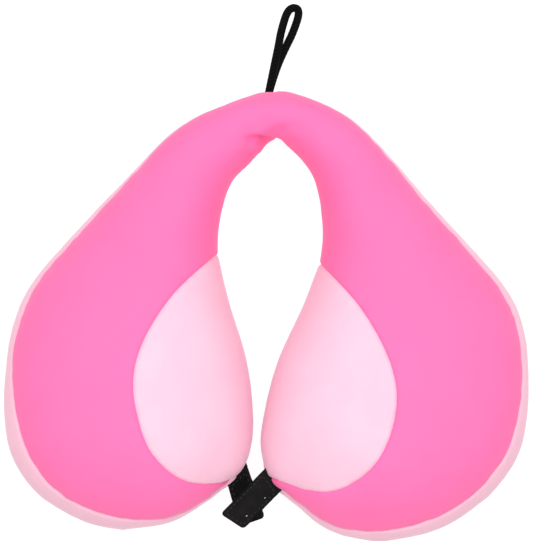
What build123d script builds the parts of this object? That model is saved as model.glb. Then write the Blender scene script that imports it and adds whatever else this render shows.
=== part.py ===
from build123d import *
import os
from math import cos, pi, radians, sin, sqrt, tan

# A U-shaped neck pillow that lies flat: +Z up, +Y towards the nape, the origin on the floor under
# the middle of its outline. All sizes are in millimetres.

# The outline in plan
pillow_width = 291.0
pillow_length = 246.0
nape_depth = 26.5  # from the inner seam to the outer seam at the middle of the nape
neck_width = 58.6  # widest clear width of the neck opening
neck_arch = 47.0  # height of the opening's round top
front_gap = 4.6  # between the two lobes
lobe_end = 65.0  # from the lobe's widest place to its front
widest_y = -58.0
widest_outer_y = -36.0
lie_angle = 3.5  # the opening lies turned a little inside the outline
lie_centre = (0.0, 26.0)

# Heights
nape_height = 54.0
lobe_height = 108.0
nape_lift = 8.0  # the nape's underside clears the floor
floor_dip = 2.5  # how far a lobe's round underside is pressed flat

# Layers
cover_thickness = 1.4
liner_thickness = 0.6

# The seam between the top and the bottom panel, a plane that rises outwards and forwards
seam_drop = 2.4
seam_rise_out = 0.116
seam_rise_front = 0.114

# Each section is a smooth ring through this many points
ring_points = 12
start_turn = -60.0

# The straps, corners in plan: the two ends of the root edge, then the two of the tip
webbing_thickness = 1.0
fastening_thickness = 1.2
fastening_border = 1.2
tip_round = 2.0
tail_length = 7.0
strap_clear = 0.3  # a strap starts this far outside its root line, on which it swings
tail_clear = 0.62  # its sewn-in tail ends this far inside that line
crossing_gap = 0.4
strap_level = 56.0  # underside of the lower strap
left_strap = [(-10.6, -83.4), (-21.4, -94.2), (-15.0, -116.9), (-0.8, -111.9)]
right_strap = [(7.0, -98.0), (-1.8, -85.6), (-25.4, -109.6), (-12.6, -118.0)]

# The hanging loop: its cord lies on this route, both ends sewn into the nape's outer seam
loop_diameter = 4.2
loop_tail_length = 7.0
loop_route = [
    (1.4, 124.0, 37.3),
    (3.4, 134.0, 37.1),
    (6.6, 149.0, 36.2),
    (8.2, 158.5, 35.4),
    (12.3, 171.5, 34.6),
    (19.2, 170.6, 33.8),
    (15.0, 157.6, 33.2),
    (10.6, 149.0, 32.9),
    (5.0, 136.5, 32.5),
    (1.4, 124.0, 32.5),
]

# The hinge lines of the arms stand where the nape's seam ends
nape_span = 28.0

back_y = pillow_length / 2
widest = pillow_width / 2
neck_half = neck_width / 2
neck_y = back_y - nape_depth - neck_arch


def settle(x, y, share):
    """A plan point, turned clockwise about lie_centre by this share of lie_angle."""
    turn = radians(lie_angle * share)
    across = x - lie_centre[0]
    along = y - lie_centre[1]
    return (
        lie_centre[0] + across * cos(turn) + along * sin(turn),
        lie_centre[1] + along * cos(turn) - across * sin(turn),
    )


def inner_edge(y):
    """Half the clear width between the arms at this height in plan, below the round top."""
    drop = (neck_y - y) / (neck_y - widest_y)
    return front_gap / 2 + (neck_half - front_gap / 2) * (1 + cos(pi * drop)) / 2


def arm_sections(side):
    """Sections from the nape's end to the lobe's front: inner point, outer point, height, lift."""
    rows = []
    # turn of the round top, outer point in shares of the half outline, settling share, height
    shoulders = [
        (18.0, 0.5 * nape_span / widest, 0.985, 0.8, 0.0),
        (34.0, 0.288, 0.880, 0.5, 0.04),
        (58.0, 0.478, 0.674, 0.2, 0.16),
        (90.0, 0.700, 0.404, 0.2, 0.38),
    ]
    for turn, out_share, back_share, settled, grown in shoulders:
        inner = (neck_half * sin(radians(turn)), neck_y + neck_arch * cos(radians(turn)))
        outer = (widest * out_share, back_y * back_share)
        rows.append((inner, outer, settled, grown))
    # inner height in plan, outer point, height
    flanks = [
        (neck_y - 17.0, 0.902, 0.134, 0.64),
        (neck_y - 42.0, 0.976, -0.068, 0.85),
        (neck_y - 75.0, 1.0, widest_outer_y / back_y, 1.0),
    ]
    for inner_y, out_share, back_share, grown in flanks:
        inner = (inner_edge(inner_y), inner_y)
        outer = (widest * out_share, back_y * back_share)
        rows.append((inner, outer, 0.2, grown))
    sections = []
    for inner, outer, settled, grown in rows:
        height = nape_height + (lobe_height - nape_height) * grown
        lift = nape_lift * (1 - grown) - floor_dip * grown
        sections.append((inner, outer, settled, height, lift))
    # the front of the lobe is the half of an ellipse
    middle = (front_gap / 2 + widest) / 2
    half = (widest - front_gap / 2) / 2
    for turn in (0.0, 18.0, 36.0, 52.0, 66.0, 77.0):
        y = widest_y - lobe_end * sin(radians(turn))
        reach = half * cos(radians(turn))
        height = lobe_height * cos(radians(turn * 0.93))
        lift = lobe_height / 2 - floor_dip - height / 2
        sections.append(((middle - reach, y), (middle + reach, y), 0.2, height, lift))
    placed = []
    for inner, outer, settled, height, lift in sections:
        start = settle(side * inner[0], inner[1], 1)
        end = settle(side * outer[0], outer[1], settled)
        placed.append((start, end, height, lift))
    return placed


def nape_middle():
    """The section in the middle of the nape."""
    start = settle(0, back_y - nape_depth, 1)
    end = settle(0, back_y, 1)
    return (start, end, nape_height, nape_lift)


def section_plane(section):
    """The upright plane through a section's inner and outer point."""
    start, end, height, lift = section
    along = Vector(end[0] - start[0], end[1] - start[1], 0)
    centre = ((start[0] + end[0]) / 2, (start[1] + end[1]) / 2, lift + height / 2)
    return Plane(origin=centre, x_dir=along, z_dir=along.cross(Vector(0, 0, 1)))


def section_half_width(section):
    start, end, _, _ = section
    return sqrt((end[0] - start[0]) ** 2 + (end[1] - start[1]) ** 2) / 2


def around(half_width, half_height):
    """Points on an ellipse, the first one low on its outer side."""
    turns = [radians(start_turn + 360 * step / ring_points) for step in range(ring_points)]
    return [(half_width * cos(turn), half_height * sin(turn)) for turn in turns]


def padded_body(sections, depth):
    """A solid through the sections, every face this deep inside the cover's outer face."""
    planes = [section_plane(section) for section in sections]
    if len(sections) > 3:  # an arm ends in the lobe's closed front, the nape is open at both ends
        inwards = (planes[-2].origin - planes[-1].origin).dot(planes[-1].z_dir)
        planes[-1] = planes[-1].offset(depth if inwards > 0 else -depth)
    with BuildPart() as body:
        for section, plane in zip(sections, planes):
            half_width = section_half_width(section) - depth
            half_height = section[2] / 2 - depth
            with BuildSketch(plane):
                with BuildLine():
                    Spline(around(half_width, half_height), periodic=True)
                make_face()
        loft()
        split(bisect_by=Plane.XY.offset(depth), keep=Keep.TOP)
    return body.part


def seam_plane(side):
    """The plane between the top and the bottom panel, on this side or over the nape (side 0)."""
    level = lobe_height / 2 - floor_dip - seam_drop
    rise_out = seam_rise_out * side
    normal = Vector(-rise_out, seam_rise_front, 1)
    return Plane(origin=(0, 0, level), z_dir=normal)


def cut_to_layer(outer, inner, plane, keep):
    """What lies between two nested solids, on one side of a plane."""
    with BuildPart() as layer:
        add(outer)
        add(inner, mode=Mode.SUBTRACT)
        split(bisect_by=plane, keep=keep)
    return layer.part


def save(part, name):
    part.label = name
    export_step(part, "parts/" + name + ".step")


def inlay_column(side):
    """An upright column with the inlay's teardrop outline, open past the lobe's inner edge."""
    outline = [(27.0, 31.5), (50.9, 8.2), (68.0, -20.0), (72.4, -45.8)]
    outline += [(64.2, -74.0), (47.0, -91.0), (28.0, -95.0), (6.0, -90.0)]
    points = [settle(side * x, y, 1) for x, y in outline]
    gap_line = [settle(-side * front_gap / 2, y, 1) for y in (outline[-1][1], outline[0][1])]
    with BuildPart() as column:
        with BuildSketch():
            with BuildLine():
                Spline(points)
                Polyline(points[-1], *gap_line, points[0])
            make_face()
        extrude(amount=lobe_height)
    return column.part


def shifted(corner, along, distance):
    """A corner moved along a plan direction."""
    return (corner[0] + along.X * distance, corner[1] + along.Y * distance)


def strap_direction(corners):
    """The plan direction from the middle of a strap's root to the middle of its tip."""
    root = (Vector(*corners[0]) + Vector(*corners[1])) / 2
    tip = (Vector(*corners[2]) + Vector(*corners[3])) / 2
    return (tip - root).normalized()


def flat_piece(corners, level, thickness, border=0.0, rounding=0.0):
    """A flat tape with these corners, the two of its tip rounded, lying at this level."""
    with BuildPart() as flat:
        with BuildSketch(Plane.XY.offset(level)) as outline:
            with BuildLine():
                Polyline(*corners, close=True)
            make_face()
            if rounding:
                tip = (Vector(*corners[2]) + Vector(*corners[3])) / 2
                fillet(outline.vertices().sort_by_distance((tip.X, tip.Y, level))[:2], rounding)
            if border:
                offset(amount=-border, kind=Kind.INTERSECTION)
        extrude(amount=thickness)
    return flat.part


def strap_webbing(corners, level):
    along = strap_direction(corners)
    roots = [shifted(corner, along, strap_clear) for corner in corners[:2]]
    return flat_piece(roots + corners[2:], level, webbing_thickness, rounding=tip_round)


def strap_fastening(corners, level):
    along = strap_direction(corners)
    roots = [shifted(corner, along, strap_clear) for corner in corners[:2]]
    return flat_piece(roots + corners[2:], level, fastening_thickness, border=fastening_border)


def strap_tail(corners, level):
    """The webbing's end inside the seam, which the covers and the filling are sewn around."""
    along = strap_direction(corners)
    outer = [shifted(corner, along, -tail_clear) for corner in corners[:2]]
    inner = [shifted(corner, along, -tail_clear - tail_length) for corner in corners[:2]]
    return flat_piece(outer + inner[::-1], level, webbing_thickness)


def padded_pieces(sections, seam, column, cuts):
    """Top panel, inlay, bottom panel, liner and filling of one body of the pillow."""
    outside = padded_body(sections, 0)
    inside = padded_body(sections, cover_thickness)
    filled = padded_body(sections, cover_thickness + liner_thickness)
    pieces = {
        "top_panel": cut_to_layer(outside, inside, seam, Keep.TOP),
        "bottom_panel": cut_to_layer(outside, inside, seam, Keep.BOTTOM),
    }
    with BuildPart() as liner:
        add(inside)
        add(filled, mode=Mode.SUBTRACT)
    pieces["liner"] = liner.part
    pieces["filling"] = filled
    if column is not None:
        with BuildPart() as inlay:
            add(pieces["top_panel"])
            add(column, mode=Mode.INTERSECT)
        with BuildPart() as around:
            add(pieces["top_panel"])
            add(column, mode=Mode.SUBTRACT)
        pieces["inlay"] = inlay.part
        pieces["top_panel"] = around.part
    for name, whole in pieces.items():
        with BuildPart() as cut:
            add(whole)
            for piece in cuts:
                add(piece, mode=Mode.SUBTRACT)
        pieces[name] = cut.part
    return pieces


os.makedirs("parts", exist_ok=True)

# The left strap lies under the right one. Its pile faces up, to the right strap's hooks.
left_pile_level = strap_level + webbing_thickness
right_hook_level = left_pile_level + fastening_thickness + crossing_gap
right_level = right_hook_level + fastening_thickness

left_tail = strap_tail(left_strap, strap_level)
right_tail = strap_tail(right_strap, right_level)
save(left_tail, "strap_tail_left")
save(right_tail, "strap_tail_right")
save(strap_webbing(left_strap, strap_level), "strap_webbing_left")
save(strap_webbing(right_strap, right_level), "strap_webbing_right")
save(strap_fastening(left_strap, left_pile_level), "loop_tape_left")
save(strap_fastening(right_strap, right_hook_level), "hook_tape_right")

# The hanging loop's cord, with an arc at each turn of its route
runs = [(Vector(*b) - Vector(*a)) for a, b in zip(loop_route, loop_route[1:])]
radii = []
for before, after in zip(runs, runs[1:]):
    half_turn = radians(before.get_angle(after)) / 2
    radii.append(0.45 * min(before.length, after.length) / tan(half_turn))
print("loop radii", [round(radius, 1) for radius in radii])
with BuildPart() as hanging_loop:
    with BuildLine() as route:
        FilletPolyline(*loop_route, radius=radii)
    cord_line = route.wires()[0]
    with BuildSketch(Plane(origin=cord_line @ 0, z_dir=cord_line % 0)):
        Circle(loop_diameter / 2)
    sweep()
cord_area = pi * loop_diameter**2 / 4
print("loop", round(cord_line.length, 1), round(hanging_loop.part.volume / cord_area, 1))
save(hanging_loop.part, "hanging_loop")

# The cord's two ends inside the seam
with BuildPart() as loop_tail:
    for end, outward in ((loop_route[0], cord_line % 0), (loop_route[-1], cord_line % 1 * -1)):
        with BuildSketch(Plane(origin=end, z_dir=outward)):
            Circle(loop_diameter / 2)
        extrude(amount=-loop_tail_length)
save(loop_tail.part, "loop_tail")

# The two arms and the nape between them
left_sections = arm_sections(-1)
right_sections = arm_sections(1)
arms = (
    ("left", -1, left_sections, left_tail),
    ("right", 1, right_sections, right_tail),
)
for name, side, sections, tail in arms:
    pieces = padded_pieces(sections, seam_plane(side), inlay_column(side), [tail])
    for piece, part in pieces.items():
        save(part, piece + "_" + name)
nape_sections = [left_sections[0], nape_middle(), right_sections[0]]
for piece, part in padded_pieces(nape_sections, seam_plane(0), None, [loop_tail.part]).items():
    save(part, piece + "_nape")
for name, side, sections, tail in arms:
    print("hinge", name, sections[0][1])
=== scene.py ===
import contextlib
import math
import random

import bmesh
import bpy
import numpy as np
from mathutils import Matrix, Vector, noise


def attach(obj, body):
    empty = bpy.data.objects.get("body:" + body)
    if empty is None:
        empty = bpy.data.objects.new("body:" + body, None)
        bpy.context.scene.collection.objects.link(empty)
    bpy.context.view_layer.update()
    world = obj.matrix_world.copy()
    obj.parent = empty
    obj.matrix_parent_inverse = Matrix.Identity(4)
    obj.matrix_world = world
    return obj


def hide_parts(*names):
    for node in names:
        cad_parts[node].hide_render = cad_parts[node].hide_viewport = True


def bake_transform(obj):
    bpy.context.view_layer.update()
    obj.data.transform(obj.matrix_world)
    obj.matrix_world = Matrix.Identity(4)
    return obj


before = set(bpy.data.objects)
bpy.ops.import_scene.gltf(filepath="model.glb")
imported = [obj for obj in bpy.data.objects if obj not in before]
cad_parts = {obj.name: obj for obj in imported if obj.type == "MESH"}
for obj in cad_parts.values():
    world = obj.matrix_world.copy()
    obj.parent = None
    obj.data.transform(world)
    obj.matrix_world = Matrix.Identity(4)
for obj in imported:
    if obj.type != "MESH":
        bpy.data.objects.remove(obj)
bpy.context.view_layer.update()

# A U-shaped neck pillow that lies flat, its nape at +Y and the upper of its two straps on the +X lobe.
# Sizes are in millimetres, and MM turns them to Blender's metres.
MM = 0.001

# ---------------------------------------------------------------- the pillow's sizes

PILLOW_WIDTH = 291.0
PILLOW_LENGTH = 246.0
NAPE_DEPTH = 26.5
NECK_WIDTH = 58.6
NECK_ARCH = 47.0
FRONT_GAP = 4.6
LOBE_END = 65.0
WIDEST_Y = -58.0
WIDEST_OUTER_Y = -36.0
LIE_ANGLE = 3.5
LIE_CENTRE = (0.0, 26.0)
NAPE_SPAN = 28.0

NAPE_HEIGHT = 54.0
LOBE_HEIGHT = 108.0
NAPE_LIFT = 8.0
FLOOR_DIP = 2.5
ROWS_ALONG = 150
POINTS_ROUND = 56

BACK_Y = PILLOW_LENGTH / 2
WIDEST = PILLOW_WIDTH / 2
NECK_HALF = NECK_WIDTH / 2
NECK_Y = BACK_Y - NAPE_DEPTH - NECK_ARCH


def placed_in_scene(name, data):
    """An object of this name, holding this mesh, curve, lamp or camera."""
    thing = bpy.data.objects.new(name, data)
    bpy.context.scene.collection.objects.link(thing)
    return thing


def as_made(thing):
    """A new mesh of a piece as its modifiers leave it, or of a curve as it runs."""
    bpy.context.view_layer.update()
    return bpy.data.meshes.new_from_object(thing.evaluated_get(bpy.context.evaluated_depsgraph_get()))


@contextlib.contextmanager
def edited(data):
    """A mesh opened for editing, and written back when that's done."""
    mesh = bmesh.new()
    mesh.from_mesh(data)
    yield mesh
    mesh.to_mesh(data)
    mesh.free()


def settle(x, y, share):
    """A plan point turned clockwise about the neck by this share of the angle the pillow lies at."""
    turn = math.radians(LIE_ANGLE * share)
    across = x - LIE_CENTRE[0]
    along = y - LIE_CENTRE[1]
    return (
        LIE_CENTRE[0] + across * math.cos(turn) + along * math.sin(turn),
        LIE_CENTRE[1] + along * math.cos(turn) - across * math.sin(turn),
    )


def inner_edge(y):
    """Half the clear width between the two arms, below the neck's round top."""
    drop = (NECK_Y - y) / (NECK_Y - WIDEST_Y)
    return FRONT_GAP / 2 + (NECK_HALF - FRONT_GAP / 2) * (1 + math.cos(math.pi * drop)) / 2


def arm_rows(side):
    """The rings of one arm from the nape to the front of its lobe: inner point, outer point, height, lift."""
    rows = []
    # angle round the neck's top, the outer point as shares of the half width and of the back, how much of the
    # lying angle it takes, and how far the arm has grown from nape to lobe
    shoulders = [
        (18.0, 0.5 * NAPE_SPAN / WIDEST, 0.985, 0.8, 0.0),
        (34.0, 0.288, 0.880, 0.5, 0.04),
        (58.0, 0.478, 0.674, 0.2, 0.16),
        (90.0, 0.700, 0.404, 0.2, 0.38),
    ]
    for turn, out_share, back_share, settled, grown in shoulders:
        angle = math.radians(turn)
        inner = (NECK_HALF * math.sin(angle), NECK_Y + NECK_ARCH * math.cos(angle))
        rows.append((inner, (WIDEST * out_share, BACK_Y * back_share), settled, grown))
    # the inner point's place along the arm, then the outer point and the growth as above
    flanks = [
        (NECK_Y - 17.0, 0.902, 0.134, 0.64),
        (NECK_Y - 42.0, 0.976, -0.068, 0.85),
        (NECK_Y - 75.0, 1.0, WIDEST_OUTER_Y / BACK_Y, 1.0),
    ]
    for inner_y, out_share, back_share, grown in flanks:
        inner = (inner_edge(inner_y), inner_y)
        rows.append((inner, (WIDEST * out_share, BACK_Y * back_share), 0.2, grown))
    rings = []
    for inner, outer, settled, grown in rows:
        height = NAPE_HEIGHT + (LOBE_HEIGHT - NAPE_HEIGHT) * grown
        lift = NAPE_LIFT * (1 - grown) - FLOOR_DIP * grown
        rings.append((inner, outer, settled, height, lift))
    middle = (FRONT_GAP / 2 + WIDEST) / 2
    half = (WIDEST - FRONT_GAP / 2) / 2
    # the lobe's round end, a little blunt in height at its very front
    for turn in (0.0, 18.0, 36.0, 52.0, 66.0, 77.0, 84.0, 89.0):
        angle = math.radians(turn)
        y = WIDEST_Y - LOBE_END * math.sin(angle)
        reach = half * math.cos(angle)
        height = LOBE_HEIGHT * math.cos(angle * 0.97)
        lift = LOBE_HEIGHT / 2 - FLOOR_DIP - height / 2
        rings.append(((middle - reach, y), (middle + reach, y), 0.2, height, lift))
    placed = []
    for inner, outer, settled, height, lift in rings:
        start = settle(side * inner[0], inner[1], 1)
        end = settle(side * outer[0], outer[1], settled)
        placed.append((*start, *end, height, lift))
    return placed


def smooth_rows(rows, steps):
    """Rows between the given ones, on a smooth curve through them all."""
    rows = np.array(rows)
    gaps = np.linalg.norm(np.diff(rows[:, :4], axis=0), axis=1) ** 0.5
    knots = np.concatenate([[0], np.cumsum(gaps)])
    places = np.linspace(0, knots[-1], steps)
    ends = np.vstack([2 * rows[0] - rows[1], rows, 2 * rows[-1] - rows[-2]])
    marks = np.concatenate([[-gaps[0]], knots, [knots[-1] + gaps[-1]]])
    slopes = (ends[2:] - ends[:-2]) / (marks[2:] - marks[:-2])[:, None]
    made = []
    for place in places:
        k = min(int(np.searchsorted(knots, place, side="right")) - 1, len(rows) - 2)
        width = knots[k + 1] - knots[k]
        s = (place - knots[k]) / width
        made.append(
            rows[k] * (2 * s**3 - 3 * s**2 + 1)
            + rows[k + 1] * (3 * s**2 - 2 * s**3)
            + slopes[k] * width * (s**3 - 2 * s**2 + s)
            + slopes[k + 1] * width * (s**3 - s**2)
        )
    return np.array(made)


def pillow_rows():
    """The rings of the whole pillow, from the left lobe's front round the nape to the right lobe's."""
    nape = (*settle(0, BACK_Y - NAPE_DEPTH, 1), *settle(0, BACK_Y, 1), NAPE_HEIGHT, NAPE_LIFT)
    return smooth_rows(arm_rows(-1)[::-1] + [nape] + arm_rows(1), ROWS_ALONG)


def stuffed_form():
    """The whole pillow as one closed mesh: rings round the arms, closed at the lobes' fronts."""
    data = bpy.data.meshes.new("stuffed_form")
    with edited(data) as mesh:
        rings = []
        for x0, y0, x1, y1, height, lift in pillow_rows():
            ring = []
            for step in range(POINTS_ROUND):
                turn = 2 * math.pi * step / POINTS_ROUND
                out = (1 + math.cos(turn)) / 2
                z = max(lift + height / 2 * (1 + math.sin(turn)), 0)
                ring.append(mesh.verts.new((x0 + (x1 - x0) * out, y0 + (y1 - y0) * out, z)))
            rings.append(ring)
        for ring, following in zip(rings, rings[1:]):
            for step in range(POINTS_ROUND):
                after = (step + 1) % POINTS_ROUND
                mesh.faces.new((ring[step], ring[after], following[after], following[step]))
        mesh.faces.new(rings[0][::-1])
        mesh.faces.new(rings[-1])
        bmesh.ops.recalc_face_normals(mesh, faces=mesh.faces)
        for vert in mesh.verts:
            vert.co *= MM
    return placed_in_scene("stuffed_form", data)


# ---------------------------------------------------------------- camera

SENSOR = 36.0
LENS_HEIGHT = 2000.0  # above the pillow's outer seam
SEEN_WIDTH = 299.4  # at that distance


def overhead_camera():
    """A long lens straight above, so the lobes' round sides hide little of the rim below their seam."""
    camera = bpy.data.cameras.new("overhead_camera")
    camera.sensor_width = SENSOR
    camera.lens = SENSOR * LENS_HEIGHT / SEEN_WIDTH
    camera.clip_end = 10.0
    holder = placed_in_scene("overhead_camera", camera)
    holder.location = (0.0, 0.0245, 2.052)
    bpy.context.scene.camera = holder


overhead_camera()


# ---------------------------------------------------------------- finishes

STRAIGHT_WAVE = 0.314  # a straight wave texture at scale 1 repeats after this length
SLANTING_WAVE = 0.22  # and a diagonal one after this


def dye(shade):
    """A colour given as an sRGB hex value, turned to linear."""
    parts = [int(shade[k : k + 2], 16) / 255 for k in (0, 2, 4)]
    linear = [p / 12.92 if p <= 0.04045 else ((p + 0.055) / 1.055) ** 2.4 for p in parts]
    return (*linear, 1.0)


def add(tree, kind, settings, links):
    """Adds one node. Settings are its options or its sockets' values, links say what feeds its sockets."""
    node = tree.nodes.new("ShaderNode" + kind)
    for name, value in settings.items():
        if isinstance(name, int) or name in node.inputs:
            node.inputs[name].default_value = value
        else:
            setattr(node, name, value)
    for name, source in links.items():
        tree.links.new(source, node.inputs[name])
    return node


def bare_material(name):
    """A new material without nodes, and its node tree."""
    material = bpy.data.materials.new(name)
    material.use_nodes = True
    material.node_tree.nodes.clear()
    return material, material.node_tree


def own_place(tree):
    """A point's place on the piece, in metres."""
    return add(tree, "TexCoord", {}, {}).outputs["Object"]


def along_the_run(tree):
    """The run map of a tape or cord: millimetres across or round it, and along it."""
    return add(tree, "UVMap", {"uv_map": "run"}, {}).outputs["UV"]


def shades(tree, source, deep, light, low=0.0, high=1.0, between=None):
    """Turns a pattern into colour, from the deep shade at low to the light one at high."""
    ramp = add(tree, "ValToRGB", {}, {"Fac": source})
    for stop, place, shade in zip(ramp.color_ramp.elements, (low, high), (deep, light)):
        stop.position = place
        stop.color = dye(shade)
    if between:
        ramp.color_ramp.elements.new(between[0]).color = dye(between[1])
    return ramp.outputs["Color"]


def patches(tree, place, size, detail=2.0, roughness=0.5):
    """A cloudy pattern, its patches this many metres across."""
    settings = {"Scale": 1 / size, "Detail": detail, "Roughness": roughness}
    return add(tree, "TexNoise", settings, {"Vector": place}).outputs["Fac"]


def relief(tree, height, strength, depth, **links):
    """Raises the surface where the pattern is high, by up to this many metres."""
    settings = {"Strength": strength, "Distance": depth}
    return add(tree, "Bump", settings, {"Height": height, **links}).outputs["Normal"]


def coated(material, tree, settings, links):
    """Ends a material with its shader."""
    shader = add(tree, "BsdfPrincipled", settings, links)
    add(tree, "OutputMaterial", {}, {"Surface": shader.outputs["BSDF"]})
    return material


def stretch_knit(name, light, deep, sheen_tint):
    """Brushed polyester jersey, knitted fine and stretched over the filling: matt, soft-edged light,
    with a faint bloom where the surface turns away and only a whisper of its wales."""
    material, tree = bare_material(name)
    place = own_place(tree)
    # wales are 0.7 mm apart, drawn at 1.2 mm so that they show, and courses at 1.0 mm
    wales, courses = (add(tree, "TexWave", {
        "wave_type": "BANDS", "bands_direction": way, "wave_profile": "SIN",
        "Scale": STRAIGHT_WAVE / apart, "Distortion": wander, "Detail": 1.0, "Detail Scale": 2.0,
    }, {"Vector": place}) for way, apart, wander in (("X", 0.0012, 0.6), ("Y", 0.0010, 0.8)))
    stitches = add(tree, "Math", {"operation": "MULTIPLY"},
                   {0: wales.outputs["Fac"], 1: courses.outputs["Fac"]})
    # brushed fibre ends, then the filling's soft lumps
    fuzz = patches(tree, place, 0.0009, 3.0, 0.6)
    lumps = patches(tree, place, 0.022)
    surface = add(tree, "Mix", {"data_type": "FLOAT", 0: 0.45}, {2: stitches.outputs["Value"], 3: fuzz})
    fine = relief(tree, surface.outputs[0], 0.3, 0.0003)
    soft = relief(tree, lumps, 0.25, 0.0012, Normal=fine)
    blend = add(tree, "Mix", {"data_type": "FLOAT", 0: 0.5}, {2: surface.outputs[0], 3: lumps})
    colour = shades(tree, blend.outputs[0], deep, light, 0.3, 0.7)
    rough = add(tree, "MapRange", {"To Min": 0.78, "To Max": 0.95}, {"Value": surface.outputs[0]})
    return coated(material, tree, {
        "IOR": 1.45, "Specular IOR Level": 0.3,
        "Sheen Weight": 0.35, "Sheen Roughness": 0.45, "Sheen Tint": dye(sheen_tint),
    }, {"Base Color": colour, "Roughness": rough.outputs["Result"], "Normal": soft})


def woven_polyester(name):
    """Flat polyester tape, woven on a narrow loom: near-black, its ribs catching a dull line of light,
    with red-brown and grey-green patches laid at random as painted sheen and painted shade."""
    material, tree = bare_material(name)
    place = own_place(tree)
    run = along_the_run(tree)
    # warp ribs are 0.9 mm apart and picks 0.6 mm
    ribs = add(tree, "TexWave", {"bands_direction": "X", "Scale": STRAIGHT_WAVE / 0.9, "Distortion": 0.5},
               {"Vector": run})
    picks = add(tree, "TexWave", {"bands_direction": "Y", "Scale": STRAIGHT_WAVE / 0.6, "Distortion": 0.7},
                {"Vector": run})
    weave = add(tree, "Math", {"operation": "MULTIPLY"}, {0: ribs.outputs["Fac"], 1: picks.outputs["Fac"]})
    # red-brown and grey-green patches laid at random: painted sheen and painted shade on the black tape
    painted_sheen_patches = patches(tree, place, 0.006, 3.0)
    colour = shades(tree, painted_sheen_patches, "030202", "1c070f", 0.36, 0.72, (0.52, "050706"))
    ribbed = relief(tree, weave.outputs["Value"], 0.6, 0.0002)
    rough = add(tree, "MapRange", {"To Min": 0.45, "To Max": 0.7}, {"Value": weave.outputs["Value"]})
    return coated(material, tree, {
        "IOR": 1.5, "Specular IOR Level": 0.09, "Sheen Weight": 0.02, "Sheen Roughness": 0.5,
    }, {"Base Color": colour, "Roughness": rough.outputs["Result"], "Normal": ribbed})


def brushed_loop_pile(name):
    """The loop half of a hook-and-loop tape, napped nylon: black felt with a grey bloom and no gloss."""
    material, tree = bare_material(name)
    place = own_place(tree)
    # loops are 0.3 mm across, drawn at 0.8 mm so that they show
    loops = add(tree, "TexVoronoi", {"Scale": 1 / 0.0008, "Randomness": 1.0}, {"Vector": place})
    nap = patches(tree, place, 0.002, 4.0, 0.7)
    colour = shades(tree, nap, "060606", "111213", 0.35, 0.75)
    napped = relief(tree, loops.outputs["Distance"], 0.8, 0.0005)
    return coated(material, tree, {
        "IOR": 1.5, "Roughness": 0.95, "Specular IOR Level": 0.08,
        "Sheen Weight": 0.03, "Sheen Roughness": 0.4,
    }, {"Base Color": colour, "Normal": napped})


def moulded_nylon_hooks(name):
    """The hook half of the tape, moulded nylon: hard black with small bright points."""
    material, tree = bare_material(name)
    place = own_place(tree)
    grain = patches(tree, place, 0.0012)
    rough = add(tree, "MapRange", {"To Min": 0.3, "To Max": 0.5}, {"Value": grain})
    colour = shades(tree, grain, "0b0b0c", "1b1c1e")
    return coated(material, tree, {"IOR": 1.53},
                  {"Base Color": colour, "Roughness": rough.outputs["Result"]})


def knitted_cord(name):
    """Soft polyester cord, knitted as a tube: black, its slanting rows showing as dull grey twill."""
    material, tree = bare_material(name)
    run = along_the_run(tree)
    # a row is 0.8 mm wide
    rows = add(tree, "TexWave", {
        "bands_direction": "DIAGONAL", "Scale": SLANTING_WAVE / 0.8, "Distortion": 0.8,
        "Detail": 2.0, "Detail Scale": 1.5,
    }, {"Vector": run})
    yarn = add(tree, "TexNoise", {"Scale": 2.2, "Detail": 4.0, "Roughness": 0.7}, {"Vector": run})
    height = add(tree, "Mix", {"data_type": "FLOAT", 0: 0.35},
                 {2: rows.outputs["Fac"], 3: yarn.outputs["Fac"]})
    colour = shades(tree, height.outputs[0], "030303", "111112", 0.25, 0.85)
    knitted = relief(tree, height.outputs[0], 0.8, 0.00035)
    return coated(material, tree, {
        "IOR": 1.5, "Roughness": 0.8, "Specular IOR Level": 0.06,
        "Sheen Weight": 0.01, "Sheen Roughness": 0.5,
    }, {"Base Color": colour, "Normal": knitted})


def spun_thread(name, light, deep):
    """Spun polyester sewing thread, two plies twisted: a dull line with a slanting twist."""
    material, tree = bare_material(name)
    place = own_place(tree)
    twist = add(tree, "TexWave", {"bands_direction": "DIAGONAL", "Scale": SLANTING_WAVE / 0.0005},
                {"Vector": place})
    colour = shades(tree, twist.outputs["Fac"], deep, light)
    twisted = relief(tree, twist.outputs["Fac"], 0.5, 0.0001)
    return coated(material, tree, {"IOR": 1.5, "Roughness": 0.6}, {"Base Color": colour, "Normal": twisted})


def opal_acrylic(name):
    """Opal acrylic sheet, cast matt and lit from below as a light table, so that the pillow lies on it
    almost without a shadow."""
    material, tree = bare_material(name)
    place = own_place(tree)
    colour = shades(tree, patches(tree, place, 0.004), "8c8a8a", "918f8f")
    return coated(material, tree, {
        "Roughness": 0.9, "Specular IOR Level": 0.1,
        "Emission Strength": 0.82, "Emission Color": (1.0, 1.0, 1.0, 1.0),
    }, {"Base Color": colour})


MAGENTA_KNIT = stretch_knit("magenta_stretch_knit", "fd73ad", "fb6fa9", "ffb4d6")
PALE_PINK_KNIT = stretch_knit("pale_pink_stretch_knit", "f4c2d4", "f0b9cd", "ffe8f2")
# a slightly deeper copy of the pale pink knit for the bottom cover: painted shade, since the cover's
# underside and rim lie in shade
PAINTED_SHADE_PINK_KNIT = stretch_knit("pale_pink_stretch_knit_painted_shade", "f3bfd1", "efb8cb", "fae4ed")
BLACK_TAPE = woven_polyester("black_woven_polyester")
BLACK_PILE = brushed_loop_pile("black_brushed_loop_pile")
BLACK_HOOKS = moulded_nylon_hooks("black_moulded_nylon_hooks")
BLACK_CORD = knitted_cord("black_knitted_cord")
BLACK_THREAD = spun_thread("black_spun_thread", "161415", "060505")
# pale thread for two specks on the right strap: painted glints
PAINTED_GLINT_THREAD = spun_thread("pale_spun_thread_painted_glint", "f4eef0", "c9bfc4")


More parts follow.
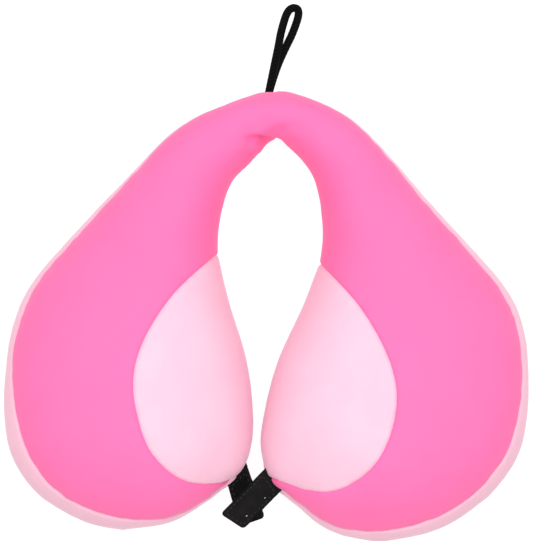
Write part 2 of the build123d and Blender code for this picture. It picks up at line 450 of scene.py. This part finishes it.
def piece_from(name, points, faces, material):
    """A smooth-shaded mesh piece, given in millimetres."""
    data = bpy.data.meshes.new(name)
    data.from_pydata([tuple(c * MM for c in p) for p in points], [], faces)
    data.validate()
    data.shade_smooth()
    data.materials.append(material)
    return placed_in_scene(name, data)


def skin(first, rings, around):
    """The faces of a closed tube whose rings of points follow one another from the point first."""
    faces = []
    for k in range(rings - 1):
        here, ahead = first + k * around, first + (k + 1) * around
        for step in range(around):
            after = (step + 1) % around
            faces.append((here + step, here + after, ahead + after, ahead + step))
    faces.append(tuple(range(first, first + around))[::-1])
    last = first + (rings - 1) * around
    faces.append(tuple(range(last, last + around)))
    return faces


def put_run_map(piece, runs):
    """Writes each point's place along and across a tape or cord, in millimetres, as the run map."""
    layer = piece.data.uv_layers.new(name="run")
    for corner in piece.data.loops:
        layer.data[corner.index].uv = runs[corner.vertex_index]


# ---------------------------------------------------------------- the hanging loop

CORD = 4.2
CORD_ROWS = 9
ROW_PITCH = 2.4
# both ends are in the nape's outer seam, the first one uppermost
LOOP_ROUTE = [
    (1.4, 124.0, 37.3), (3.4, 134.0, 37.1), (6.6, 149.0, 36.2), (8.2, 158.5, 35.4), (12.3, 171.5, 34.6),
    (19.2, 170.6, 33.8), (15.0, 157.6, 33.2), (10.6, 149.0, 32.9), (5.0, 136.5, 32.5), (1.4, 124.0, 32.5),
]


def loop_line():
    """The line the cord follows: one smooth spline with the route's points as its control points."""
    curve = bpy.data.curves.new("loop_line", "CURVE")
    curve.dimensions = "3D"
    spline = curve.splines.new("NURBS")
    spline.points.add(len(LOOP_ROUTE) - 1)
    for point, place in zip(spline.points, LOOP_ROUTE):
        point.co = (*(c * MM for c in place), 1.0)
    spline.order_u = 3
    spline.use_endpoint_u = True
    spline.resolution_u = 34
    holder = placed_in_scene("loop_line", curve)
    line = as_made(holder)
    points = [vert.co.copy() for vert in line.vertices]
    bpy.data.meshes.remove(line)
    bpy.data.objects.remove(holder)
    return points


def cord_tube(name, line, around=28):
    """A knitted cord along a line: round, with slanting rows that stand a little proud."""
    points, runs = [], []
    length = 0.0
    for k, middle in enumerate(line):
        ahead = line[min(k + 1, len(line) - 1)]
        behind = line[max(k - 1, 0)]
        along = (ahead - behind).normalized()
        if k:
            length += (middle - line[k - 1]).length / MM
        side = along.cross(Vector((0, 0, 1))).normalized()
        up = side.cross(along)
        slant = length * 2 * math.pi / ROW_PITCH
        for step in range(around):
            turn = 2 * math.pi * step / around
            rows = math.sin(CORD_ROWS * turn + slant)
            knots = math.sin(CORD_ROWS * turn - slant)
            radius = CORD / 2 * (1.06 + 0.035 * rows + 0.012 * knots)
            place = middle / MM + side * (radius * math.cos(turn)) + up * (radius * math.sin(turn))
            points.append(tuple(place))
            runs.append((length, turn * CORD / 2))
    piece = piece_from(name, points, skin(0, len(line), around), BLACK_CORD)
    put_run_map(piece, runs)
    return piece


def hanging_loop():
    """The cord outside the seam, out of it and back."""
    line = loop_line()
    piece = cord_tube("hanging_loop_cord", line)
    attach(piece, "nape")
    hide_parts("hanging_loop")


def loop_tails():
    """The two sewn-in ends of the cord, under the nape's cover."""
    for name, height in (("loop_tail_upper", 37.3), ("loop_tail_lower", 32.5)):
        line = [Vector((1.4 - 0.2 * step, 124.2 - step, height)) * MM for step in range(8)]
        piece = cord_tube(name, line)
        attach(piece, "nape")
        if name == "loop_tail_upper":
            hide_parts("loop_tail")


hanging_loop()
loop_tails()


# ---------------------------------------------------------------- the stuffed cover

SLACK = 0.5  # how far the cover is let in before it is stuffed
FIRM = 2.5  # how far a point of it may swell then
STUFFING_FRAMES = 20
APART = 9.0  # how far each lobe is held aside meanwhile
NOT_HERE = 99.0  # a level far from any seam

# the inlay's seam in plan on the right arm, before the pillow is turned, from the opening round to the front
INLAY_OUTLINE = [(27.0, 31.5), (50.9, 8.2), (68.0, -20.0), (72.4, -45.8), (64.2, -74.0), (47.0, -91.0),
                 (28.0, -95.0), (6.0, -90.0)]


def with_modifiers(piece):
    """Puts the piece's mesh, as its modifiers leave it, in place of its own."""
    done = as_made(piece)
    piece.modifiers.clear()
    old = piece.data
    piece.data = done
    bpy.data.meshes.remove(old)


def points_of(data):
    """A mesh's points, in millimetres."""
    flat = np.empty(len(data.vertices) * 3)
    data.vertices.foreach_get("co", flat)
    return flat.reshape(-1, 3) / MM


def move_points(data, points):
    """Puts a mesh's points where these are, in millimetres."""
    data.vertices.foreach_set("co", (points * MM).ravel())
    data.update()


def normals_of(data):
    """The way the surface faces at each point."""
    flat = np.empty(len(data.vertices) * 3)
    data.vertex_normals.foreach_get("vector", flat)
    return flat.reshape(-1, 3)


def eased(share):
    """A share from 0 to 1 that starts and ends gently."""
    return share * share * (3 - 2 * share)


def mound(points, x, y, reach):
    """1 at a place in plan, dying away all round it."""
    return np.exp(-((points[:, 0] - x) ** 2 + (points[:, 1] - y) ** 2) / reach**2)


def valley(gap, reach):
    """1 on a line, dying away on both sides of it."""
    return np.exp(-((gap / reach) ** 2))


def hold_apart(points, way):
    """Moves the lobes apart (way 1) and back together (way -1), so they are stuffed without touching."""
    plan = unsettled(points)
    share = eased(np.clip((70.0 - plan[:, 1]) / 90.0, 0, 1))
    moved = points.copy()
    moved[:, 0] += way * APART * share * np.sign(plan[:, 0])
    return moved


# Where the stuffed cover is pushed into shape: arm, place in plan, push across and along, and reach.
# Arm -1 is the left one, 1 the right one, and 0 both.
HAND_PUSHES = [
    (-1, -80.0, -20.0, 1.9, 0.0, 110.0),
    (-1, -24.0, 60.0, 1.2, 0.0, 30.0),
    (-1, -88.0, -118.0, 0.0, 1.4, 32.0),
    (-1, -66.0, -120.0, 0.0, -1.0, 24.0),
    (-1, -52.0, -112.0, 0.3, -1.2, 17.0),
    (-1, -115.0, -100.0, 0.8, 0.8, 30.0),
    (-1, -13.0, 88.0, 2.6, -2.6, 15.0),
    (-1, -52.0, 96.0, -2.2, 1.6, 26.0),
    (-1, -11.0, -76.0, 1.8, 0.0, 13.0),
    (-1, -14.0, -89.0, 2.9, -3.2, 11.0),
    (0, 6.0, 122.0, 0.2, 1.8, 22.0),
    (1, 42.0, 110.0, 1.9, 3.0, 28.0),
    (1, 68.0, 86.0, 1.4, 1.4, 24.0),
    (1, 16.0, 90.0, -0.7, -0.8, 11.0),
    (1, 138.0, 0.0, 1.9, 0.0, 40.0),
    (1, 122.0, -98.0, -3.0, 1.6, 32.0),
    (1, 60.0, -123.0, 0.0, -0.4, 30.0),
    (1, 34.0, -113.0, -1.0, -1.3, 17.0),
    (1, -1.0, -76.0, -2.4, 0.0, 13.0),
    (1, 3.0, -91.0, -4.2, -3.4, 11.0),
]


def shape_by_hand(points):
    """Pushes the stuffed cover about in plan, where the real one sits fuller or slacker than its pattern."""
    side = np.sign(unsettled(points)[:, 0])
    moved = points.copy()
    for arm, x, y, across, along, reach in HAND_PUSHES:
        share = mound(points, x, y, reach)
        if arm:
            share = share * (side == arm)
        moved[:, 0] += across * share
        moved[:, 1] += along * share
    return moved


def soften_tips(piece):
    """Evens out the lobes' fronts, where the rings close."""
    with edited(piece.data) as mesh:
        tips = [v for v in mesh.verts if v.co.y < -0.104]
        for _ in range(14):
            bmesh.ops.smooth_vert(mesh, verts=tips, factor=0.5,
                                  use_axis_x=True, use_axis_y=True, use_axis_z=True)


def blow_up(piece):
    """Presses the cover out from inside, as far as it stays firm."""
    slack = points_of(piece.data) - normals_of(piece.data) * SLACK
    move_points(piece.data, slack)
    cloth = piece.modifiers.new("stuffing", "CLOTH")
    cloth.settings.quality = 4
    cloth.settings.mass = 0.25
    cloth.settings.tension_stiffness = 8
    cloth.settings.compression_stiffness = 8
    cloth.settings.bending_stiffness = 0.4
    cloth.settings.use_pressure = True
    cloth.settings.uniform_pressure_force = 15
    cloth.settings.effector_weights.gravity = 0
    cloth.point_cache.frame_start = 1
    cloth.point_cache.frame_end = STUFFING_FRAMES
    scene = bpy.context.scene
    for frame_number in range(1, STUFFING_FRAMES + 1):
        scene.frame_set(frame_number)
    with_modifiers(piece)
    scene.frame_set(1)
    swollen = points_of(piece.data) - slack
    far = np.linalg.norm(swollen, axis=1)
    swollen *= np.minimum(1, FIRM / np.maximum(far, 1e-6))[:, None]
    move_points(piece.data, slack + swollen)


def stuff(piece):
    """Fills the cover: an even mesh is blown up a little from inside, as loose filling does."""
    move_points(piece.data, hold_apart(points_of(piece.data), 1))
    remesh = piece.modifiers.new("even_mesh", "REMESH")
    remesh.mode = "VOXEL"
    remesh.voxel_size = 0.0042
    with_modifiers(piece)
    soften_tips(piece)
    blow_up(piece)
    finer = piece.modifiers.new("finer", "SUBSURF")
    finer.levels = 1
    with_modifiers(piece)
    resting = shape_by_hand(hold_apart(points_of(piece.data), -1))
    resting[:, 2] = np.maximum(resting[:, 2], 0.0)
    move_points(piece.data, resting)


def unsettled(points):
    """Plan points turned back, so that the opening's middle line is x = 0."""
    turn = math.radians(LIE_ANGLE)
    across = points[:, 0] - LIE_CENTRE[0]
    along = points[:, 1] - LIE_CENTRE[1]
    return np.stack([
        LIE_CENTRE[0] + across * math.cos(turn) - along * math.sin(turn),
        LIE_CENTRE[1] + along * math.cos(turn) + across * math.sin(turn),
    ], axis=1)


def beside_opening(points):
    """1 on the cover's walls round the neck opening and the gap, 0 elsewhere."""
    plan = unsettled(points)
    across, along = np.abs(plan[:, 0]), plan[:, 1]
    drop = np.clip((NECK_Y - along) / (NECK_Y - WIDEST_Y), 0, 1)
    lower = FRONT_GAP / 2 + (NECK_HALF - FRONT_GAP / 2) * (1 + np.cos(np.pi * drop)) / 2
    upper = NECK_HALF * np.sqrt(np.clip(1 - (np.clip(along - NECK_Y, 0, None) / NECK_ARCH) ** 2, 0, 1))
    half = np.where(along < NECK_Y, lower, upper)
    inner = np.clip((half + 12.0 - across) / 4.0, 0, 1) * np.clip((105.0 - along) / 3.0, 0, 1)
    return inner * np.clip((along + 92.0) / 20.0, 0, 1)


def rim_height(points):
    """Height above the outer seam, which climbs outwards and towards the lobes' fronts and dips round
    the opening."""
    x, y = points[:, 0], points[:, 1]
    out = np.sqrt(x**2 + 144.0) - 12.0
    left = np.clip((-0.6 * x - 0.8 * y - 100.0) / 40.0, 0, 1)
    right = np.clip((0.6 * x - 0.8 * y - 110.0) / 40.0, 0, 1)
    wide = 7.0 * eased(left) + 2.5 * eased(right)
    wide -= 13.0 * beside_opening(points)
    wide -= 4.0 * mound(points, -38.0, -103.0, 26.0)
    wide += 3.2 * mound(points, 78.0, -116.0, 30.0)
    return points[:, 2] - (49.1 + 0.116 * out - 0.114 * y + wide)


def inlay_line():
    """The inlay's curved seam in plan: a smooth line through the outline's points."""
    outline = np.array(INLAY_OUTLINE)
    rows = np.vstack([2 * outline[0] - outline[1], outline, 2 * outline[-1] - outline[-2]])
    made = []
    for k in range(1, len(rows) - 2):
        for s in np.linspace(0, 1, 14, endpoint=False):
            a, b, c, d = rows[k - 1 : k + 3]
            made.append(0.5 * (2 * b + (c - a) * s + (2 * a - 5 * b + 4 * c - d) * s**2
                               + (3 * b - a - 3 * c + d) * s**3))
    made.append(rows[-2])
    return np.array(made)


INLAY_LINE = inlay_line()
INLAY_RUN = np.concatenate([[0], np.cumsum(np.linalg.norm(np.diff(INLAY_LINE, axis=0), axis=1))])


def inlay_distance(points):
    """How far each point is inside (negative) or outside the inlay's seam, and how far along that seam.
    The left inlay is narrower towards the front than the right one."""
    plan = unsettled(points)
    lower = np.clip((25.0 - plan[:, 1]) / 85.0, 0, 1)
    plan[:, 0] = np.abs(plan[:, 0]) + lower * np.where(plan[:, 0] < 0, 6.0, -2.4)
    nearest = np.full(len(plan), 1e9)
    along = np.zeros(len(plan))
    for k in range(len(INLAY_LINE) - 1):
        start, step = INLAY_LINE[k], INLAY_LINE[k + 1] - INLAY_LINE[k]
        t = np.clip(((plan - start) @ step) / (step @ step), 0, 1)
        gap = np.linalg.norm(plan - start - t[:, None] * step, axis=1)
        closer = gap < nearest
        nearest[closer] = gap[closer]
        along[closer] = INLAY_RUN[k] + t[closer] * math.sqrt(step @ step)
    ring = np.vstack([INLAY_LINE, [(-6.0, -90.0), (-6.0, 31.5)]])
    inside = np.zeros(len(plan), bool)
    for (x0, y0), (x1, y1) in zip(ring, np.roll(ring, -1, axis=0)):
        crosses = (y0 > plan[:, 1]) != (y1 > plan[:, 1])
        height = y1 - y0 if y1 != y0 else 1.0
        inside ^= crosses & (plan[:, 0] < (x1 - x0) * (plan[:, 1] - y0) / height + x0)
    return np.where(inside, -nearest, nearest), along


def inlay_gap(points):
    """How far each point is from the inlay's seam, negative inside it."""
    return inlay_distance(points)[0]


def nape_middle(points):
    """How far each point of the nape is from the line where the two sides of the cover meet."""
    plan = unsettled(points)
    return np.where(plan[:, 1] > 60, plan[:, 0], NOT_HERE)


def sew_line(mesh, level, off=0.0):
    """Cuts the faces along the line where a height worked out for each point is off."""
    mesh.verts.ensure_lookup_table()
    heights = level(np.array([v.co[:] for v in mesh.verts]) / MM) - off
    mesh.verts.index_update()
    near = 0.12  # a point as close as this is taken to be on the line
    on_line = [v for v in mesh.verts if abs(heights[v.index]) < near]
    crossing = []
    for edge in mesh.edges:
        a, b = (heights[v.index] for v in edge.verts)
        if a * b < 0 and min(abs(a), abs(b)) >= near and max(abs(a), abs(b)) < 9:
            crossing.append((edge, edge.verts[0], abs(a) / (abs(a) + abs(b))))
    for edge, start, share in crossing:
        _, made = bmesh.utils.edge_split(edge, start, share)
        on_line.append(made)
    bmesh.ops.connect_verts(mesh, verts=on_line, check_degenerate=False)


def on_top(level):
    """A level that is only followed above the outer seam."""
    return lambda points: np.where(rim_height(points) > -0.4, level(points), NOT_HERE)


def pucker(points, reach):
    """Soft gathers across a seam: noise that changes along it and dies away from it."""
    return np.array([noise.noise(Vector(p)) for p in points]) * reach


def draw_in_seams(data):
    """Pulls the fabric in along every seam, with a narrow valley at the thread and a soft one round it."""
    points = points_of(data)
    rim = rim_height(points)
    depth = 1.4 * valley(rim, 0.85) + 0.8 * valley(rim, 6.0)
    gathers = np.stack([points[:, 0] / 6.5, points[:, 1] / 6.5, points[:, 2] / 40.0], axis=1)
    depth += pucker(gathers, 0.75) * np.exp(-np.abs(rim) / 6.0)
    gap, along = inlay_distance(points)
    above = np.clip((rim + 1.0) / 3.0, 0, 1)
    depth += above * (1.2 * valley(gap, 0.8) + 0.6 * valley(gap, 5.0))
    side = np.sign(unsettled(points)[:, 0])
    gathers = np.stack([along / 6.0, side * 9.0, gap / 30.0], axis=1)
    depth += above * pucker(gathers, 0.6) * np.exp(-np.abs(gap) / 6.0)
    points = points - normals_of(data) * depth[:, None]
    points[:, 2] = np.maximum(points[:, 2], 0.0)
    move_points(data, points)


def fold_nape(data):
    """The gathered fold at the inner top of the neck opening, on its left, where the curve is tightest:
    a crease that runs from the opening's point into the nape, with a slack lip below it."""
    points = points_of(data)
    start, end = np.array([5.2, 96.2]), np.array([-11.5, 97.8])
    step = end - start
    t = np.clip(((points[:, :2] - start) @ step) / (step @ step), 0, 1)
    gap = points[:, :2] - start - t[:, None] * step
    ahead = gap[:, 1]
    high = np.clip((points[:, 2] - 30.0) / 10.0, 0, 1)
    reach = np.where(ahead < 0, 3.0, 1.4)
    crease = 4.2 * valley(np.linalg.norm(gap, axis=1), reach) * high
    crease *= np.sin(np.pi * np.clip(0.16 + 0.78 * t, 0, 1))
    lip = 0.8 * valley(ahead + 6.0, 2.4) * valley(points[:, 0] + 5.0, 6.0) * high
    slack = valley(points[:, 0] + 13.0, 9.0) * valley(points[:, 1] - 90.0, 10.0)
    ripples = 0.35 * slack * np.sin(points[:, 0] * 1.3 + points[:, 1] * 0.9) * high
    move_points(data, points + normals_of(data) * (lip + ripples - crease)[:, None])


def sew_cover():
    """The whole stuffed cover, cut along its seams and drawn in there, with what says which panel each
    face is in: its height above the outer seam, its way from the inlay's and its side."""
    whole = stuffed_form()
    stuff(whole)
    with edited(whole.data) as mesh:
        # each seam itself, and two lines on either side of it that carry its valley
        for level in (rim_height, on_top(inlay_gap)):
            for off in (0.0, -1.1, 1.1, -2.8, 2.8):
                sew_line(mesh, level, off)
        sew_line(mesh, nape_middle)
    middles = np.array([p.center[:] for p in whole.data.polygons]) / MM
    rim = rim_height(middles)
    gap = inlay_gap(middles)
    side = unsettled(middles)[:, 0]
    on_middle = np.abs(nape_middle(points_of(whole.data))) < 0.05
    draw_in_seams(whole.data)
    fold_nape(whole.data)
    whole.data.shade_smooth()
    return whole, rim, gap, side, on_middle


def cut_panel(name, whole, chosen, on_middle, material):
    """One panel of the cover, out of the whole. Across the nape's middle it keeps the whole's shading."""
    points = points_of(whole.data)
    normals = normals_of(whole.data)
    faces = [tuple(whole.data.polygons[k].vertices) for k in np.nonzero(chosen)[0]]
    used = sorted({v for face in faces for v in face})
    place = {v: k for k, v in enumerate(used)}
    panel = piece_from(name, points[used], [tuple(place[v] for v in face) for face in faces], material)
    own = normals_of(panel.data)
    kept = on_middle[used]
    own[kept] = normals[used][kept]
    panel.data.normals_split_custom_set_from_vertices([tuple(n) for n in own])
    return panel


# the bend of each arm, from just beside the nape's middle to above the inlay's point
LEFT_BEND = {"start": (-0.004, 0.107, 0.035), "end": (-0.043, 0.076, 0.035)}
RIGHT_BEND = {"start": (0.015, 0.106, 0.035), "end": (0.051, 0.071, 0.035)}


def pillow_covers():
    """The six panels of the cover. The right ones also stand for the nape's."""
    whole, rim, gap, side, on_middle = sew_cover()
    top = rim > 0
    inlay = top & (gap < 0)
    panels = (
        ("top_cover_", top & ~inlay, MAGENTA_KNIT, "magenta_knit", ("top_panel_", "liner_", "filling_")),
        # the bottom cover wears the deeper copy of the pale pink knit, painted shade
        ("bottom_cover_", ~top, PAINTED_SHADE_PINK_KNIT, "pale_pink_knit", ("bottom_panel_",)),
        ("inlay_cover_", inlay, PALE_PINK_KNIT, "pale_pink_knit", ("inlay_",)),
    )
    for hand, here, bend in (("left", side < 0, LEFT_BEND), ("right", side >= 0, RIGHT_BEND)):
        for name, chosen, knit, slot, nodes in panels:
            panel = cut_panel(name + hand, whole, chosen & here, on_middle, knit)
            stands_for = [node + hand for node in nodes]
            if name == "inlay_cover_":
                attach(panel, "arm_" + hand)
            else:
                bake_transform(panel)
                if hand == "right":
                    stands_for += [node + "nape" for node in nodes]
            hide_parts(*stands_for)
    bpy.data.objects.remove(whole)


pillow_covers()


# ---------------------------------------------------------------- the straps

TAPE = 1.0
FASTENING = 1.2
# a strap's corners in plan: its root's two, then the tip's, going round
LEFT_STRAP = [(-10.6, -83.4), (-21.4, -94.2), (-15.0, -116.9), (-0.8, -111.9)]
RIGHT_STRAP = [(7.0, -98.0), (-1.8, -85.6), (-25.4, -109.6), (-12.6, -118.0)]
LEFT_TAPE_LEVEL = 56.0
LEFT_PILE_LEVEL = 57.0
RIGHT_HOOK_LEVEL = 58.6
RIGHT_TAPE_LEVEL = 59.8
HEM = 1.2  # from a tape's edge to the fastening sewn on it
SELVEDGE = 0.45  # how far a tape's rounded edge reaches in
TUCKED_IN = 7.6  # the length of a strap's tail in the seam


def tape_frame(corners):
    """A strap's own axes in plan: the way it runs, the way across, and its length."""
    root_a, root_b, tip_b, tip_a = (Vector((*c, 0)) for c in corners)
    run = (tip_a + tip_b) / 2 - (root_a + root_b) / 2
    along = run.normalized()
    return along, Vector((-along.y, along.x, 0)), run.length


def tape_corner(corners, u, v):
    """A plan point of a strap, u along it from root to tip and v across it, both 0 to 1."""
    root_a, root_b, tip_b, tip_a = (Vector((*c, 0)) for c in corners)
    start = root_a.lerp(root_b, v)
    end = tip_a.lerp(tip_b, v)
    return start.lerp(end, u)


def rounded_tip(from_tip, from_side, radius):
    """Where a point of a square tip goes when the tip's corner is cut round, and how far that is from
    the cut."""
    if from_tip >= radius or from_side >= radius:
        return from_tip, from_side, min(from_tip, from_side)
    p, q = radius - from_tip, radius - from_side
    reach = max(p, q)
    share = reach / max(math.hypot(p, q), 1e-9)
    return radius - p * share, radius - q * share, radius - reach


def level_all_along(u, v):
    return 0.0


def flat_tape(name, corners, low, thick, material, inset=0.0, lift=level_all_along, radius=2.2):
    """A tape as a grid on both faces with rounded selvedges, its edges a little uneven from the loom."""
    _, across, length = tape_frame(corners)
    columns, rows = 60, 36
    points, runs, faces = [], [], []
    for which in (1, -1):
        for i in range(columns + 1):
            for j in range(rows + 1):
                u, v = i / columns, j / rows
                wide = (tape_corner(corners, u, 1) - tape_corner(corners, u, 0)).length - 2 * inset
                long = length - 2 * inset
                from_tip, from_side, edge = rounded_tip((1 - u) * long, min(v, 1 - v) * wide, radius)
                u = (inset + long - from_tip) / length
                off = (inset + from_side) / (wide + 2 * inset)
                v = off if v < 0.5 else 1 - off
                plan = tape_corner(corners, u, v)
                half = thick / 2 * math.sqrt(max(0.0, 1 - (1 - min(edge / SELVEDGE, 1)) ** 2))
                wander = 0.12 * noise.noise(Vector((u * length / 3.0, v * 9.0, low)))
                z = low + thick / 2 + which * half + lift(u, v)
                points.append((plan.x + across.x * wander, plan.y + across.y * wander, z))
                runs.append((v * wide, u * length))
    step = rows + 1
    base = (columns + 1) * step
    for i in range(columns):
        for j in range(rows):
            a, b = i * step + j, i * step + j + 1
            c, d = (i + 1) * step + j + 1, (i + 1) * step + j
            faces.append((a, d, c, b))
            faces.append((base + a, base + b, base + c, base + d))
    border = list(range(rows + 1))
    border += [i * step + rows for i in range(1, columns + 1)]
    border += [columns * step + j for j in range(rows - 1, -1, -1)]
    border += [i * step for i in range(columns - 1, 0, -1)]
    for a, b in zip(border, border[1:] + border[:1]):
        faces.append((a, b, base + b, base + a))
    piece = piece_from(name, points, faces, material)
    put_run_map(piece, runs)
    with edited(piece.data) as mesh:
        bmesh.ops.recalc_face_normals(mesh, faces=mesh.faces)
    piece.data.shade_smooth()
    return piece


def stitch_border(name, corners, level, facing, lift, inset=1.9, gap=2.6, stitch=1.9):
    """A row of separate stitches round the tape, just inside its edge."""
    length = tape_frame(corners)[2]
    wide = (Vector(corners[1]) - Vector(corners[0])).length
    u0, u1 = inset / length, 1 - inset / length
    v0, v1 = inset / wide, 1 - inset / wide
    track = [(tape_corner(corners, u, v), u, v)
             for u, v in ((u0, v0), (u1, v0), (u1, v1), (u0, v1), (u0, v0))]
    slices, around = 5, 8
    points, faces = [], []
    for (start, u_start, v_start), (end, u_end, v_end) in zip(track, track[1:]):
        run = end - start
        along = run.normalized()
        across = Vector((-along.y, along.x, 0))
        count = max(1, int(run.length / gap))
        for k in range(count):
            share = (k + 0.5) / count
            middle = start + run * share
            rise = lift(u_start + (u_end - u_start) * share, v_start + (v_end - v_start) * share)
            faces += skin(len(points), slices, around)
            for i in range(slices):
                t = i / (slices - 1) * 2 - 1
                thick = 0.2 * math.sqrt(max(0.05, 1 - t**4))
                sag = -0.14 * t * t * facing
                for step in range(around):
                    turn = 2 * math.pi * step / around
                    place = middle + along * (t * stitch / 2) + across * (thick * 1.2 * math.cos(turn))
                    z = level + rise + facing * 0.1 + sag + thick * math.sin(turn)
                    points.append((place.x, place.y, z))
    return piece_from(name, points, faces, BLACK_THREAD)


def moulded_hooks(name, corners, level, lift):
    """Rows of small bent hooks, standing down from the fastening tape."""
    along, across, length = tape_frame(corners)
    wide = (Vector(corners[1]) - Vector(corners[0])).length
    edge = 3.5  # clear of hooks all round
    rng = random.Random(7)
    # a hook's line, its reach and drop, and the square bar that follows it
    spine = [(0.0, 0.05), (0.02, -0.14), (0.14, -0.26), (0.30, -0.24), (0.34, -0.15)]
    bar = [(-0.09, -0.03), (0.09, -0.03), (0.09, 0.05), (-0.09, 0.05)]
    points, faces = [], []
    rows, columns = int((length - 2 * edge) / 1.5), int((wide - 2 * edge) / 1.4)
    for i in range(rows):
        for j in range(columns):
            u = (edge + i * (length - 2 * edge) / (rows - 1)) / length
            v = (edge + j * (wide - 2 * edge) / (columns - 1)) / wide
            foot = tape_corner(corners, u, v)
            rise = lift(u, v)
            lean = (1 if i % 2 else -1) * 0.32 + rng.uniform(-0.04, 0.04)
            faces += skin(len(points), len(spine), len(bar))
            for reach, drop in spine:
                place = foot + along * (lean / 0.34 * reach)
                for dx, dz in bar:
                    spot = place + across * dx
                    points.append((spot.x, spot.y, level + rise + drop + dz))
    return piece_from(name, points, faces, BLACK_HOOKS)


def left_bow(u, v):
    """The left strap lies almost flat, one edge of its tip drooping."""
    return -0.5 * u**3 * v + 0.25 * math.sin(math.pi * u) * math.sin(math.pi * v)


def right_bow(u, v):
    """The right strap springs up a little at its tip, away from the fastening below."""
    return 0.9 * u**4 + 0.3 * math.sin(math.pi * u) * math.sin(math.pi * v) + 0.35 * u * u * (1 - v)


def laid(piece, body, slot, *nodes):
    """Hands a strap's piece to the frame: the body it rides on, and what it stands for. Its slot is not used.
    """
    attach(piece, body)
    if nodes:
        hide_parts(*nodes)


def left_strap():
    """The lower strap: webbing with loop pile on top, and the sewing that shows on both faces."""
    tape = flat_tape("left_strap_tape", LEFT_STRAP, LEFT_TAPE_LEVEL, TAPE, BLACK_TAPE, lift=left_bow)
    laid(tape, "strap_left", "black_webbing", "strap_webbing_left")
    pile = flat_tape("left_strap_pile", LEFT_STRAP, LEFT_PILE_LEVEL, FASTENING, BLACK_PILE,
                     inset=HEM, lift=left_bow)
    laid(pile, "strap_left", "black_pile", "loop_tape_left")
    for name, level, facing in (("left_strap_stitches", LEFT_PILE_LEVEL + FASTENING, 1),
                                ("left_strap_under_stitches", LEFT_TAPE_LEVEL, -1)):
        laid(stitch_border(name, LEFT_STRAP, level, facing, left_bow, inset=2.2),
             "strap_left", "black_webbing")


def painted_glint_thread_end(name, start, end, level):
    """A short pale thread end caught down on the strap: a painted glint, a pale speck where the strap catches
    light.
    """
    a, b = Vector((*start, 0)), Vector((*end, 0))
    along = (b - a).normalized()
    across = Vector((-along.y, along.x, 0))
    slices, around = 9, 8
    points = []
    for i in range(slices):
        t = i / (slices - 1)
        arch = math.sin(math.pi * t)
        middle = a.lerp(b, t) + across * (0.25 * arch)
        thick = 0.17 * math.sqrt(max(0.04, 1 - (2 * t - 1) ** 4))
        for step in range(around):
            turn = 2 * math.pi * step / around
            place = middle + across * (thick * math.cos(turn))
            points.append((place.x, place.y, level + 0.12 + 0.3 * arch + thick * math.sin(turn)))
    return piece_from(name, points, skin(0, slices, around), PAINTED_GLINT_THREAD)


def right_strap():
    """The upper strap: webbing with hooks underneath, its sewing, and two pale thread ends on top as painted
    glints.
    """
    top = RIGHT_TAPE_LEVEL + TAPE
    under = RIGHT_HOOK_LEVEL + 0.3
    tape = flat_tape("right_strap_tape", RIGHT_STRAP, RIGHT_TAPE_LEVEL, TAPE, BLACK_TAPE, lift=right_bow)
    laid(tape, "strap_right", "black_webbing", "strap_webbing_right")
    backing = flat_tape("right_strap_hook_tape", RIGHT_STRAP, under, FASTENING - 0.3, BLACK_HOOKS,
                        inset=HEM, lift=right_bow)
    laid(backing, "strap_right", "black_hooks", "hook_tape_right")
    laid(moulded_hooks("right_strap_hooks", RIGHT_STRAP, under, right_bow), "strap_right", "black_hooks")
    laid(stitch_border("right_strap_stitches", RIGHT_STRAP, top, 1, right_bow),
         "strap_right", "black_webbing")
    # two pale specks near the strap's edge: painted glints
    for name, start, end, rise in (("painted_glint_near_root", (-1.1, -101.2), (-0.4, -100.5), 0.35),
                                   ("painted_glint_near_tip", (-11.3, -111.2), (-10.4, -110.5), 0.75)):
        laid(painted_glint_thread_end(name, start, end, top + rise), "strap_right", "black_webbing")


def strap_tails():
    """The sewn-in end of each strap, from just under its root to inside the lobe's cover."""
    straps = (("left", LEFT_STRAP, LEFT_TAPE_LEVEL), ("right", RIGHT_STRAP, RIGHT_TAPE_LEVEL))
    for hand, corners, low in straps:
        inwards = tape_frame(corners)[0] * -TUCKED_IN
        root_a, root_b = (Vector((*c, 0)) for c in corners[:2])
        ends = ((root_a, 1), (root_b, 1), (root_b, -0.09), (root_a, -0.09))
        tail = [tuple((root + inwards * share)[:2]) for root, share in ends]
        laid(flat_tape("strap_tail_tape_" + hand, tail, low + 0.06, TAPE - 0.12, BLACK_TAPE, radius=0.3),
             "arm_" + hand, "black_webbing", "strap_tail_" + hand)


left_strap()
right_strap()
strap_tails()


# ---------------------------------------------------------------- the light table and the light

def light_table():
    """The sheet the pillow lies on, a hair below its resting faces."""
    data = bpy.data.meshes.new("white_board")
    with edited(data) as mesh:
        bmesh.ops.create_grid(mesh, x_segments=8, y_segments=8, size=3.0)
    data.materials.append(opal_acrylic("opal_acrylic_sheet"))
    board = placed_in_scene("white_board", data)
    board.location.z = -0.0002


def soft_light(name, place, aim, size, power, tint):
    """A round lamp behind a diffuser, aimed at a point."""
    lamp = bpy.data.lights.new(name, "AREA")
    lamp.shape = "DISK"
    lamp.size = size
    lamp.energy = power
    lamp.color = dye(tint)[:3]
    holder = placed_in_scene(name, lamp)
    holder.location = place
    direction = Vector(aim) - Vector(place)
    holder.rotation_euler = direction.to_track_quat("-Z", "Y").to_euler()


def light_tent():
    """An even white surround."""
    world = bpy.data.worlds.new("light_tent")
    world.use_nodes = True
    tree = world.node_tree
    tree.nodes.clear()
    surround = add(tree, "Background", {"Color": (1.0, 1.0, 1.0, 1.0), "Strength": 0.58}, {})
    add(tree, "OutputWorld", {}, {"Surface": surround.outputs["Background"]})
    bpy.context.scene.world = world


light_table()
soft_light("overhead_softbox", (0.02, 0.2, 1.6), (0.0, 0.0, 0.05), 1.1, 22.0, "ffffff")
light_tent()
bpy.context.scene.view_settings.view_transform = "Standard"
